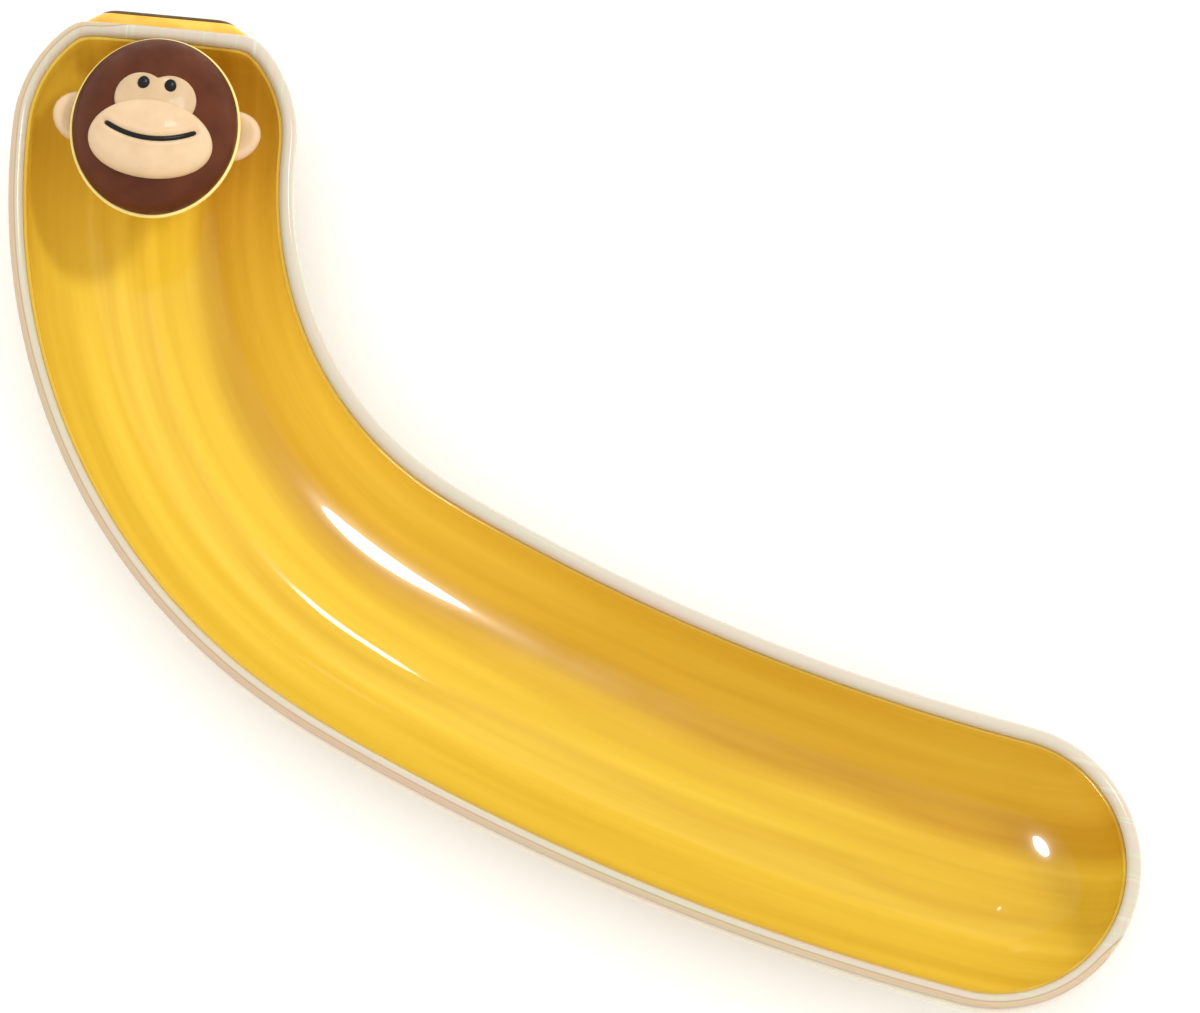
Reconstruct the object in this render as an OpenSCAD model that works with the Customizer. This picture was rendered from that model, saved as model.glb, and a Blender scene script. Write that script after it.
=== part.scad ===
// Banana-shaped tray with an animal head standing at its stem end.
// A clear outer shell holds a coloured liner; the head stands on a neck that one screw
// clamps from beneath, and four soft feet carry the tray.
// Millimetres, +Z up. The two end-cap centres lie on one line along X, with the head at
// the -X end, and the convex side of the curve faces -Y. The origin is on the ground,
// in the middle of the tray's outline.

/* [Curve] */
// Centreline radius of the tight bend next to the head
bend_r = 89; // [80:1:105]
// Centreline radius of the long gentle sweep
sweep_r = 445; // [380:5:500]

/* [Shell and liner] */
// Width of the tray across the outside of its rim
rim_w = 55.5; // [53:0.5:60]
// Height of the clear shell, underside to rim
shell_h = 31; // [29:0.5:34]
// Wall thickness of the clear shell
shell_wall = 2.8; // [2.4:0.1:3.2]
// Wall thickness of the coloured liner
liner_wall = 1.5; // [1.2:0.1:1.8]
// How far the liner's edge stops below the top of the rim
liner_drop = 1.6; // [1:0.1:3]
// Radius of the rounded lower edge, outside
heel_r = 25; // [23:0.5:26]
// Distance from the head-end cap's centre out to the flat end of the shell
end_cut = 21.4; // [21:0.1:22.5]

/* [Stem] */
// Width of the stem stub at its top
stem_w = 27; // [20:0.5:28]
// Length of the stem stub beyond the flat end
stem_len = 2.2; // [1.5:0.1:4]
// Thickness of the dark tip on the stub
tip_t = 0.6; // [0.5:0.1:1.5]

/* [Head] */
// Width of the head, ear side to ear side without the ears
head_w = 31.6; // [28:0.2:32]
// Height of the face, chin to crown
head_l = 34.4; // [30:0.2:35]
// Rise of the dome over its flat back
head_rise = 9.5; // [8:0.1:11]
// Turn of the face against the flat end, anticlockwise from above, in degrees
face_turn = 3.5; // [-10:0.5:10]
// Clearance of the dome's flat back above the rim
head_lift = 1.5; // [1.4:0.1:4]
// Radius of each ear
ear_r = 5.2; // [4:0.1:5.6]
// Width of the muzzle
muzzle_w = 23.8; // [20:0.2:24]
// Height of the muzzle, bottom to top of its oval
muzzle_l = 14.8; // [12:0.2:15]
// Rise of the muzzle's middle over the dome's flat back
muzzle_rise = 11.8; // [11:0.1:13]
// Width of the mouth line
mouth_t = 1; // [0.8:0.1:1.2]
// Diameter of each eye
eye_d = 2.4; // [1.6:0.1:2.6]

/* [Fastening and feet] */
// Diameter of the screw's shank
screw_d = 2.9; // [2.5:0.1:3]
// Length of the screw's shank
screw_len = 14; // [10:1:18]
// Height of each foot
foot_h = 2; // [1.5:0.1:3]
// Diameter of each foot where it meets the shell
foot_d = 8; // [6:0.5:10]

/* [Hidden] */

$fn = 96;
// Each arc is swept a little long, and a cutter then trims it to the exact joint plane
spare_angle = 2;
cutter = 300;

// Steps in a rounded rim and in the rounded lower edge, and overshoot of a cutting solid
// past the face it opens
edge_steps = 6;
heel_steps = 18;
over = 1;

// Thin gaps: bond line round the liner, and seat round each let-in piece of the face
bond_gap = 0.15;
seat_gap = 0.05;

// Colours of the pieces
clear_colour = [0.93, 0.92, 0.88, 0.45];
banana_yellow = [0.97, 0.78, 0.20];
pale_yellow = [0.97, 0.87, 0.55];
fur_brown = [0.36, 0.20, 0.15];
skin_cream = [0.95, 0.82, 0.66];
ink_black = [0.06, 0.05, 0.05];
tip_brown = [0.30, 0.22, 0.10];
steel_grey = [0.72, 0.73, 0.75];

// Angles that the bend and the sweep turn through, 69.4 and 16.3 degrees. Their sines and
// cosines are short decimals, so the pieces of the trough meet face to face exactly.
bend_angle = atan2(117, 44);
sweep_angle = atan2(7, 24);

// The centreline, start to finish, in a frame where it sets off along +X
chord_x = bend_r * sin(bend_angle) + sweep_r * (sin(bend_angle + sweep_angle) - sin(bend_angle));
chord_y = bend_r * (1 - cos(bend_angle))
        + sweep_r * (cos(bend_angle) - cos(bend_angle + sweep_angle));
chord = norm([chord_x, chord_y]);

// Headings of the centreline at its start, at the change of radius and at its finish
start_heading = -atan2(chord_y, chord_x);
mid_heading = start_heading + bend_angle;
end_heading = mid_heading + sweep_angle;

// Unit vector to the right of a heading, which points away from the bend's centre
function right_of(heading) = [sin(heading), -cos(heading)];

// Centres of the caps and of the two arcs
cap_y = bend_r * (1 - cos(start_heading)) / 2;
bend_centre = [-chord / 2, cap_y] - bend_r * right_of(start_heading);
sweep_centre = bend_centre + (bend_r - sweep_r) * right_of(mid_heading);

// Half widths and levels, measured from the ground
shell_half = rim_w / 2;
liner_half = shell_half - shell_wall - bond_gap;
shell_base = foot_h;
shell_floor = shell_base + shell_wall;
liner_floor = shell_floor + liner_wall;
rim_z = shell_base + shell_h;
liner_top = rim_z - liner_drop;

// Outer and inner radius of the liner's rounded lower edge, and how far its floor has risen
// at a distance from the centreline
liner_heel = heel_r - shell_wall - bond_gap;
floor_heel = liner_heel - liner_wall;
floor_flat = liner_half - liner_wall - floor_heel;
function floor_rise(reach) =
    floor_heel - sqrt(pow(floor_heel, 2) - pow(max(0, reach - floor_flat), 2));

// Place of the head in the head-end frame, and the level of its flat back
head_at = [-2.1, 0.8];
head_z = rim_z + head_lift;
plate_t = 1.2;
plate_margin = 0.5;
dome_wall = 0.4;
socket_d = 10;
socket_depth = 3;
socket_z = head_z - plate_t - socket_depth;

// Face layout on the dome: x to the viewer's right, y to the crown, z over the flat back
muzzle_at = [0, -4.4];
muzzle_base = 4;
brow_r = 4.9;
brow_at = [2.9, 3.45];
brow_base = 5.6;
brow_proud = 0.7;
mouth_r = 15.7;
mouth_centre = [0, 10.65];
mouth_half_angle = 34;
mouth_base = 7.6;
mouth_proud = 0.12;
muzzle_step = 0.2;
eye_at = [2.55, 6.1];
eye_base = 7;
eye_top = 9.95;
ear_at = [14.8, 0.9];
ear_t = 2.8;

// Ears, dished a little off centre
ear_dish_r = 7;
ear_dish_depth = 0.9;
ear_dish_shift = 1.6;

// Stem: corner radius, levels over the shell's underside, and width at its foot
stem_corner = 3;
stem_top = shell_h - 2.5;
stem_low = 11.5;
stem_low_w = stem_w * 0.62;

// Neck: its flare starts just above the rounded floor, and its spigot goes down through
// the liner to a shallow seat sunk in the shell
neck_top_d = 12;
neck_base_d = 15;
neck_gap = 0.1;
neck_base_z = liner_floor + floor_rise(norm(head_at) + neck_base_d / 2) + neck_gap;
spigot_d = 8;
seat_depth = 0.3;
spigot_z = shell_floor - seat_depth;
collar_wall = 2;

// Screw and washer, in a counterbore under the shell
screw_clear = 0.25;
bore_clear = 0.05;
washer_d = 7;
washer_t = 0.5;
screw_head_d = 5.6;
screw_head_t = 1.5;
screw_slot = [3.2, 0.8, 0.8];
counterbore_d = 7.4;
counterbore_t = 1.1;
washer_z = shell_base + counterbore_t - washer_t;

// Feet: taper of their sides, and how far along the bend and the sweep they stand
foot_taper = 1;
bend_feet = [0.16, 0.66];
sweep_foot = 0.36;

// Right-hand side of a trough section, floor to mouth. lip rounds the mouth's edge:
// inward when positive, outward when negative.
function side_points(half, floor_z, heel, top_z, lip) = concat(
    [for (i = [0:heel_steps])
        let (a = 90 * i / heel_steps)
        [half - heel + heel * sin(a), floor_z + heel - heel * cos(a)]],
    [for (i = [0:edge_steps])
        let (a = 90 * i / edge_steps)
        [half - lip + lip * cos(a), top_z - abs(lip) + abs(lip) * sin(a)]]);

function mirrored(points) = [for (i = [len(points) - 1:-1:0]) [-points[i].x, points[i].y]];

// Sweeps one trough section along the whole centreline, caps included, and ends the
// head-end cap flat at cut. rise lifts the mouth straight up past top_z.
module trough(half, floor_z, heel, top_z, lip, cut, rise) {
    side = concat(side_points(half, floor_z, heel, top_z, lip),
                  rise > 0 ? [[half - lip, top_z + rise]] : []);
    full = concat(side, mirrored(side));
    half_section = concat([[0, floor_z]], side, [[0, top_z + rise]]);
    end_edge = [for (i = [0:edge_steps])
        let (a = 90 * i / edge_steps)
        [cut - lip + lip * cos(a), top_z - abs(lip) + abs(lip) * sin(a)]];
    end_block = concat([[-over, floor_z - over], [cut, floor_z - over]], end_edge,
                       [[cut - lip, top_z + rise], [-over, top_z + rise]]);
    in_bend_frame() {
        at_head_cap() intersection() {
            rotate_extrude(angle = 180) polygon(half_section);
            translate([-rim_w, 0, 0]) rotate([90, 0, 90])
                linear_extrude(2 * rim_w) polygon(end_block);
        }
        difference() {
            rotate_extrude(start = -90 - bend_angle - spare_angle, angle = bend_angle + spare_angle)
                translate([bend_r, 0]) polygon(full);
            rotate([0, 0, -bend_angle]) translate([-cutter, -cutter, 0]) cube(cutter);
        }
        translate([0, sweep_r - bend_r]) {
            difference() {
                rotate_extrude(start = -90, angle = sweep_angle + spare_angle)
                    translate([sweep_r, 0]) polygon(full);
                rotate([0, 0, sweep_angle]) translate([0, -2 * cutter, 0]) cube(2 * cutter);
            }
            rotate([0, 0, sweep_angle]) translate([0, -sweep_r, 0])
                rotate_extrude(start = -90, angle = 180) polygon(half_section);
        }
    }
}

// Frame with the bend's centre as its origin, turned so that the centreline heads
// along X where the bend passes into the sweep
module in_bend_frame() {
    translate(bend_centre) rotate([0, 0, mid_heading]) children();
}

// Place of the head-end cap within the bend's frame
module at_head_cap() {
    translate(bend_r * right_of(-bend_angle)) rotate([0, 0, 90 - bend_angle]) children();
}

// Frame of the head end: y points out through the flat end, x to the right of it
module at_head_end() {
    in_bend_frame() at_head_cap() children();
}

// The head end's frame, moved to the head's centre
module at_head(z = 0) {
    at_head_end() translate([head_at.x, head_at.y, z]) children();
}

// Frame of the face, which is turned a little on the neck
module at_face(z) {
    at_head(z) rotate([0, 0, face_turn]) children();
}

// A solid with a flat base, an oval outline and a crowned top. crown gives the height
// over (x, y), where f runs from 1 at the outline to 0 in the middle.
module crowned(half_w, half_l, centre, base_z, crown, rings, sides) {
    function oval(f, j) = [centre.x + half_w * f * cos(360 * j / sides),
                           centre.y + half_l * f * sin(360 * j / sides)];
    base = [for (j = [0:sides - 1]) let (p = oval(1, j)) [p.x, p.y, base_z]];
    top = [for (k = [0:rings - 1])
        let (f = cos(90 * k / rings))
        for (j = [0:sides - 1])
            let (p = oval(f, j))
            [p.x, p.y, crown(p.x, p.y, f)]];
    apex = [centre.x, centre.y, crown(centre.x, centre.y, 0)];
    last = rings * sides;
    polyhedron(
        points = concat(base, top, [apex]),
        faces = concat(
            [[for (j = [0:sides - 1]) j]],
            [for (k = [0:rings - 1])
                for (j = [0:sides - 1])
                    let (low = k * sides, high = low + sides, n = (j + 1) % sides)
                    each [[low + j, high + j, high + n], [low + j, high + n, low + n]]],
            [for (j = [0:sides - 1])
                [last + j, last + sides, last + (j + 1) % sides]]));
}

// Height of the dome's surface over its flat back, at a point of the face
function dome_z(x, y, extra = 0) =
    dome_wall + (head_rise + extra - dome_wall)
    * sqrt(max(0, 1 - pow(2 * x / (head_w + 2 * extra), 2) - pow(2 * y / (head_l + 2 * extra), 2)));

// Height of the muzzle's surface: it leaves the dome at its outline and swells from there
function muzzle_z(x, y, f) =
    let (ux = 2 * (x - muzzle_at.x) / muzzle_w, uy = 2 * (y - muzzle_at.y) / muzzle_l)
    let (reach = max(norm([ux, uy]), 0.001))
    let (edge_x = muzzle_at.x + (x - muzzle_at.x) / reach)
    let (edge_y = muzzle_at.y + (y - muzzle_at.y) / reach)
    let (edge = dome_z(edge_x, edge_y) + muzzle_step)
    edge + (muzzle_rise - edge) * sqrt(max(0, 1 - reach * reach));

module oval_2d(half_w, half_l) {
    polygon([for (j = [0:59]) [half_w * cos(6 * j), half_l * sin(6 * j)]]);
}

// Outline of the two-lobed brow, less the muzzle below it
module brow_outline(gap) {
    difference() {
        union() {
            for (side = [-1, 1])
                translate([side * brow_at.x, brow_at.y]) circle(r = brow_r + gap);
            translate([-brow_at.x, brow_at.y - brow_r]) square([2 * brow_at.x, brow_r]);
        }
        translate(muzzle_at) oval_2d(muzzle_w / 2 + seat_gap - gap, muzzle_l / 2 + seat_gap - gap);
    }
}

// The curved band of the mouth, from base up through the muzzle
module mouth_band(gap) {
    band = mouth_t + 2 * gap;
    band_h = muzzle_rise + over - mouth_base + gap;
    translate([mouth_centre.x, mouth_centre.y, mouth_base - gap]) rotate([0, 0, -90]) {
        rotate([0, 0, -mouth_half_angle]) rotate_extrude(angle = 2 * mouth_half_angle)
            translate([mouth_r - band / 2, 0]) square([band, band_h]);
        for (end = [-1, 1])
            rotate([0, 0, end * mouth_half_angle]) translate([mouth_r, 0, 0])
                cylinder(d = band, h = band_h);
    }
}

module dome_solid(extra, base_z) {
    crowned(head_w / 2 + extra, head_l / 2 + extra, [0, 0], base_z,
            function (x, y, f) dome_z(x, y, extra), 10, 48);
}

module muzzle_solid(extra) {
    translate([0, 0, extra])
        crowned(muzzle_w / 2, muzzle_l / 2, muzzle_at, muzzle_base - extra,
                function (x, y, f) muzzle_z(x, y, f), 8, 40);
}

module outer_shell() {
    lip = shell_wall / 2;
    color(clear_colour) difference() {
        trough(shell_half, shell_base, heel_r, rim_z, lip, end_cut, 0);
        trough(shell_half - shell_wall, shell_floor, heel_r - shell_wall, rim_z, -lip,
               end_cut - shell_wall, over);
        at_head(shell_base - over) cylinder(d = screw_d + 2 * screw_clear, h = shell_wall + 2 * over);
        at_head(shell_base - over) cylinder(d = counterbore_d, h = counterbore_t + over);
        at_head(spigot_z) cylinder(d = spigot_d + 2 * bore_clear, h = seat_depth + over);
    }
}

module liner() {
    lip = liner_wall / 2;
    cut = end_cut - shell_wall - bond_gap;
    color(banana_yellow) difference() {
        trough(liner_half, shell_floor, liner_heel, liner_top, lip, cut, 0);
        trough(liner_half - liner_wall, liner_floor, floor_heel, liner_top, -lip,
               cut - liner_wall, over);
        at_head(shell_floor - over) cylinder(d = spigot_d + 2 * bore_clear, h = liner_wall + 2 * over);
    }
}

// Outline of the stem as seen along the tray: wide at the top, with rounded corners
module stem_outline() {
    side = stem_w / 2;
    shoulder = stem_top - stem_corner;
    polygon([[-stem_low_w / 2, stem_low], [stem_low_w / 2, stem_low], [side, shoulder],
             [side - stem_corner, shoulder], [side - stem_corner, stem_top],
             [stem_corner - side, stem_top], [stem_corner - side, shoulder], [-side, shoulder]]);
    for (end = [-1, 1])
        translate([end * (side - stem_corner), shoulder]) circle(r = stem_corner);
}

// A plate of the stem's outline, standing from one distance along the end's axis
module stem_plate(from, thick) {
    at_head_end() translate([0, from + thick, shell_base])
        rotate([90, 0, 0]) linear_extrude(thick) stem_outline();
}

module stem_stub() {
    color(banana_yellow) stem_plate(end_cut, stem_len);
}

module stem_tip() {
    color(tip_brown) stem_plate(end_cut + stem_len, tip_t);
}

module neck() {
    color(banana_yellow) difference() {
        // Spigot and tenon both run a little way into the flare, so the neck is one piece
        union() {
            at_head(spigot_z) cylinder(d = spigot_d, h = neck_base_z - spigot_z + over);
            at_head(neck_base_z)
                cylinder(d1 = neck_base_d, d2 = neck_top_d, h = socket_z - neck_base_z);
            at_head(socket_z - over)
                cylinder(d = socket_d - 2 * bore_clear, h = socket_depth + over);
        }
        at_head(spigot_z - over) cylinder(d = screw_d + 2 * bore_clear, h = screw_len + over);
    }
}

module head_back() {
    color(pale_yellow) difference() {
        union() {
            at_face(head_z - plate_t) linear_extrude(plate_t)
                oval_2d(head_w / 2 + plate_margin, head_l / 2 + plate_margin);
            at_head(socket_z) cylinder(d = neck_top_d + 2 * collar_wall, h = socket_depth);
        }
        at_head(socket_z - over) cylinder(d = socket_d, h = socket_depth + over);
    }
}

module head_dome() {
    color(fur_brown) at_face(head_z) difference() {
        dome_solid(0, 0);
        translate([muzzle_at.x, muzzle_at.y, muzzle_base]) linear_extrude(muzzle_rise)
            oval_2d(muzzle_w / 2 + seat_gap, muzzle_l / 2 + seat_gap);
        translate([0, 0, brow_base]) linear_extrude(head_rise) brow_outline(seat_gap);
    }
}

module brow_patch() {
    color(skin_cream) at_face(head_z) difference() {
        intersection() {
            dome_solid(brow_proud, 0);
            translate([0, 0, brow_base]) linear_extrude(head_rise) brow_outline(0);
        }
        for (side = [-1, 1])
            translate([side * eye_at.x, eye_at.y, eye_base])
                cylinder(d = eye_d + 2 * bore_clear, h = head_rise);
    }
}

module muzzle() {
    color(skin_cream) at_face(head_z) difference() {
        muzzle_solid(0);
        mouth_band(seat_gap);
    }
}

module mouth_inlay() {
    color(ink_black) at_face(head_z) intersection() {
        muzzle_solid(mouth_proud);
        mouth_band(0);
    }
}

// A round bead with a domed top, let into the brow
module eye(side) {
    dome_r = eye_d;
    color(ink_black) at_face(head_z) translate([side * eye_at.x, eye_at.y, 0]) intersection() {
        translate([0, 0, eye_base]) cylinder(d = eye_d, h = eye_top - eye_base);
        translate([0, 0, eye_top - dome_r]) sphere(r = dome_r);
    }
}

// A round ear under the head's back plate, dished on the side that shows
module ear(side) {
    edge = ear_t / 2;
    color(skin_cream) at_face(head_z - plate_t - ear_t)
        translate([side * ear_at.x, ear_at.y, 0]) difference() {
            rotate_extrude() polygon(concat(
                [[0, 0]],
                [for (i = [0:8])
                    let (a = -90 + 180 * i / 8)
                    [ear_r - edge + edge * cos(a), edge + edge * sin(a)]],
                [[0, ear_t]]));
            translate([side * ear_dish_shift, 0, ear_t + ear_dish_r - ear_dish_depth])
                sphere(r = ear_dish_r);
        }
}

module head_screw() {
    head_z0 = washer_z - screw_head_t;
    color(steel_grey) at_head() difference() {
        union() {
            translate([0, 0, washer_z]) cylinder(d = screw_d, h = screw_len);
            translate([0, 0, head_z0])
                cylinder(d1 = screw_head_d - 1, d2 = screw_head_d, h = screw_head_t / 2);
            translate([0, 0, head_z0 + screw_head_t / 2])
                cylinder(d = screw_head_d, h = screw_head_t / 2);
        }
        for (turn = [0, 90])
            rotate([0, 0, turn])
                translate([-screw_slot.x / 2, -screw_slot.y / 2, head_z0 - over])
                    cube([screw_slot.x, screw_slot.y, screw_slot.z + over]);
    }
}

module screw_washer() {
    color(steel_grey) at_head(washer_z) difference() {
        cylinder(d = washer_d, h = washer_t);
        translate([0, 0, -over]) cylinder(d = screw_d + 2 * bore_clear, h = washer_t + 2 * over);
    }
}

// A soft foot under the centreline, where it has turned this far round its arc
module foot(centre, radius, heading) {
    at = centre + radius * right_of(heading);
    color(clear_colour) translate([at.x, at.y, 0])
        cylinder(d1 = foot_d - foot_taper, d2 = foot_d, h = foot_h);
}

module foot_1() {
    foot(bend_centre, bend_r, start_heading + bend_angle * bend_feet[0]);
}

module foot_2() {
    foot(bend_centre, bend_r, start_heading + bend_angle * bend_feet[1]);
}

module foot_3() {
    foot(sweep_centre, sweep_r, mid_heading + sweep_angle * sweep_foot);
}

module foot_4() {
    foot(sweep_centre, sweep_r, end_heading);
}

outer_shell();
liner();
stem_stub();
stem_tip();
neck();
head_back();
head_dome();
brow_patch();
muzzle();
mouth_inlay();
eye(-1);  // eye_left
eye(1);  // eye_right
ear(-1);  // ear_left
ear(1);  // ear_right
head_screw();
screw_washer();
foot_1();
foot_2();
foot_3();
foot_4();
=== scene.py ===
import math

import bmesh
import bpy
import numpy as np
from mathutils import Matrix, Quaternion, Vector

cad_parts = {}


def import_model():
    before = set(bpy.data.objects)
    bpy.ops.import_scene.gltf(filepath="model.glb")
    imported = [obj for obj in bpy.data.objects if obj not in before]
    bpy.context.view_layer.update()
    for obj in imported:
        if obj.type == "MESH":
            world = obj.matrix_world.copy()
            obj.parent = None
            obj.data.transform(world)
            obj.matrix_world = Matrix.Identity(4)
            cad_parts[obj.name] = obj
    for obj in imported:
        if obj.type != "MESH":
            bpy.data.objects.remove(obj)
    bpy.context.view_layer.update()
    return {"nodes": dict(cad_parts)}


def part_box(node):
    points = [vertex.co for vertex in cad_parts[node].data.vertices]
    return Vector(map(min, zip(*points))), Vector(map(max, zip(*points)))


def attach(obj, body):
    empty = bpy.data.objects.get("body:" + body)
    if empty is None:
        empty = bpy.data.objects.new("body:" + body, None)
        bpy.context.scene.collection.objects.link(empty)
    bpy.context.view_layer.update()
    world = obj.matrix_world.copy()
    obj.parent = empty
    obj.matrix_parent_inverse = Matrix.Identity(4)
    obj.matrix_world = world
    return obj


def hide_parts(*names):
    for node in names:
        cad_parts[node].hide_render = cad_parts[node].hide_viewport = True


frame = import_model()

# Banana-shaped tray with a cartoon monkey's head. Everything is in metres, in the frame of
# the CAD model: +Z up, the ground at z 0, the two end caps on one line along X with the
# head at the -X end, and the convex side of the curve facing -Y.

MM = 0.001

# ---------------------------------------------------------------- sizes from the frame

shell_low, shell_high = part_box("outer_shell")
liner_low, liner_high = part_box("liner")
plate_low, plate_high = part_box("head_back")
stub_low, stub_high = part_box("stem_stub")
far_foot_low, far_foot_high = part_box("foot_4")
washer_low, washer_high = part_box("screw_washer")

# The last foot stands under the far cap's centre, and the head's cap mirrors it in X
FAR_CAP = np.array([(far_foot_low.x + far_foot_high.x) / 2, (far_foot_low.y + far_foot_high.y) / 2])
HEAD_CAP = np.array([-FAR_CAP[0], FAR_CAP[1]])
HEAD_AXIS = np.array([(washer_low.x + washer_high.x) / 2, (washer_low.y + washer_high.y) / 2])

SHELL_BASE = shell_low.z
RIM_Z = shell_high.z
LINER_BASE = liner_low.z
LINER_TOP = liner_high.z
SHELL_WALL = LINER_BASE - SHELL_BASE

# The rim is a shade narrower than the CAD model's, and the liner lies close to the shell
SLIM = 0.5 * MM
BOND_GAP = 0.04 * MM
SHELL_HALF = shell_high.x - FAR_CAP[0] - SLIM
LINER_HALF = SHELL_HALF - SHELL_WALL - BOND_GAP
PLATE_LOW = plate_low.z
PLATE_TOP = plate_high.z

# Sizes that the boxes don't give: radii and angles of the bend and the sweep, the sideways
# drift of the path at each end, and the trough's wall, rounded lower edge and flat end
BEND_R = 89 * MM
SWEEP_R = 445 * MM
BEND_ANGLE = math.atan2(117, 44)
SWEEP_ANGLE = math.atan2(7, 24)
CURVE_BLEND = 7 * MM
HEAD_DRIFT = -2.2 * MM
FAR_DRIFT = 0.9 * MM
DRIFT_LENGTH = 35 * MM
LINER_WALL = 0.6 * MM
HEEL_R = 25 * MM
END_CUT = 21.4 * MM
CUT_CORNER = 1.2 * MM
CROWN_MIN = 0.4 * MM

# Points of a plan outline along each side and round each cap
SIDE_STEPS = 140
FAR_STEPS = 40
HEAD_STEPS = 60


# ---------------------------------------------------------------- mesh helpers

def lerp(a, b, t):
    return a + (b - a) * t


def add_mesh(name, verts, faces):
    """A smooth-shaded mesh object in the scene, with its faces turned outwards."""
    mesh = bpy.data.meshes.new(name)
    mesh.from_pydata([tuple(v) for v in verts], [], faces)
    work = bmesh.new()
    work.from_mesh(mesh)
    bmesh.ops.recalc_face_normals(work, faces=work.faces)
    work.to_mesh(mesh)
    work.free()
    mesh.polygons.foreach_set("use_smooth", [True] * len(mesh.polygons))
    obj = bpy.data.objects.new(name, mesh)
    bpy.context.scene.collection.objects.link(obj)
    return obj


def skin_faces(rows, count):
    """Quads between neighbouring closed loops of count points."""
    faces = []
    for k in range(rows - 1):
        for j in range(count):
            n = (j + 1) % count
            faces.append((k * count + j, k * count + n, (k + 1) * count + n, (k + 1) * count + j))
    return faces


def loft(name, loops):
    """A closed skin through loops of equal length, with a fan over each end."""
    count = len(loops[0])
    verts = np.concatenate(loops)
    faces = skin_faces(len(loops), count)
    for first in (0, (len(loops) - 1) * count):
        middle = len(verts)
        verts = np.vstack([verts, verts[first:first + count].mean(axis=0)])
        faces += [(first + j, first + (j + 1) % count, middle) for j in range(count)]
    return add_mesh(name, verts, faces)


def declare(obj, node, slot, *materials):
    """Gives a piece its materials, hangs it on the root body and hides the CAD node that it stands
    in for.
    """
    for material in materials:
        obj.data.materials.append(material)
    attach(obj, "root")
    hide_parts(node)
    return obj


# ---------------------------------------------------------------- plan of the tray

def centreline():
    """Points and headings along the middle of the tray, head cap to far cap.

    The curvature eases from the tight bend into the sweep instead of jumping.
    """
    bend_length = BEND_R * BEND_ANGLE
    total = bend_length + SWEEP_R * SWEEP_ANGLE
    finer = 8
    fine = finer * SIDE_STEPS
    s = np.linspace(0, total, fine + 1)
    ease = 0.5 * (1 + np.tanh((s - bend_length) / CURVE_BLEND))
    curvature = lerp(1 / BEND_R, 1 / SWEEP_R, ease)
    step = total / fine
    heading = np.concatenate([[0], np.cumsum((curvature[1:] + curvature[:-1]) / 2) * step])
    middle = (heading[1:] + heading[:-1]) / 2
    path = np.concatenate([[0], np.cumsum(np.exp(1j * middle)) * step])
    # Turned and scaled a hair to run from cap centre to cap centre
    fit = complex(*(FAR_CAP - HEAD_CAP)) / path[-1]
    path = complex(*HEAD_CAP) + path * fit
    heading = heading + np.angle(fit)
    # The real curve opens out towards the head, so the path drifts sideways along it
    drift = lerp(FAR_DRIFT, HEAD_DRIFT, np.exp(-s / DRIFT_LENGTH))
    path = path + 1j * np.exp(1j * heading) * drift
    heading = heading + np.gradient(drift, s)
    pick = slice(0, fine + 1, finer)
    return s[pick], np.stack([path[pick].real, path[pick].imag], axis=1), heading[pick]


ALONG, PATH, HEADING = centreline()
LEFT = np.stack([-np.sin(HEADING), np.cos(HEADING)], axis=1)


def head_reach(angles, half, cut):
    """Distance from the head cap's centre to its outline, which the flat end cuts short."""
    flat = cut / np.maximum(np.cos(angles), 1e-3)
    return 0.5 * (half + flat - np.sqrt((half - flat) ** 2 + CUT_CORNER ** 2))


def plan_loop(half, cut, z):
    """Closed outline at one level: right side, far cap, left side, head cap."""
    right = PATH - half * LEFT
    left = (PATH + half * LEFT)[::-1]
    turn = np.linspace(-90, 90, FAR_STEPS + 2)[1:-1] * math.pi / 180 + HEADING[-1]
    far = PATH[-1] + half * np.stack([np.cos(turn), np.sin(turn)], axis=1)
    swing = np.linspace(-90, 90, HEAD_STEPS + 2)[1:-1] * math.pi / 180
    turn = swing + HEADING[0] + math.pi
    reach = head_reach(swing, half, cut)[:, None]
    head = PATH[0] + reach * np.stack([np.cos(turn), np.sin(turn)], axis=1)
    plan = np.concatenate([right, far, left, head])
    return np.column_stack([plan, np.full(len(plan), z)])


def trough_coordinates(verts):
    """Distance along and across the tray for each vertex, for patterns that follow it."""
    gap = verts[:, None, :2] - PATH[None, :, :]
    nearest = np.argmin((gap ** 2).sum(axis=2), axis=1)
    offset = verts[:, :2] - PATH[nearest]
    ahead = np.stack([np.cos(HEADING), np.sin(HEADING)], axis=1)[nearest]
    along = ALONG[nearest] + (offset * ahead).sum(axis=1)
    across = (offset * LEFT[nearest]).sum(axis=1)
    return np.column_stack([along, across])


def add_coordinates(obj, name, pairs):
    """Stores one pair of coordinates per vertex in a named UV map."""
    layer = obj.data.uv_layers.new(name=name)
    corner = np.zeros(len(obj.data.loops), dtype=np.int32)
    obj.data.loops.foreach_get("vertex_index", corner)
    layer.data.foreach_set("uv", pairs[corner].astype(np.float32).ravel())


def quarter(centre, radii, start, end, steps):
    """Points of an arc in the section plane, angles in degrees from outwards to upwards."""
    turn = np.radians(np.linspace(start, end, steps))
    return [(centre[0] + radii[0] * math.cos(t), centre[1] + radii[1] * math.sin(t)) for t in turn]


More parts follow.
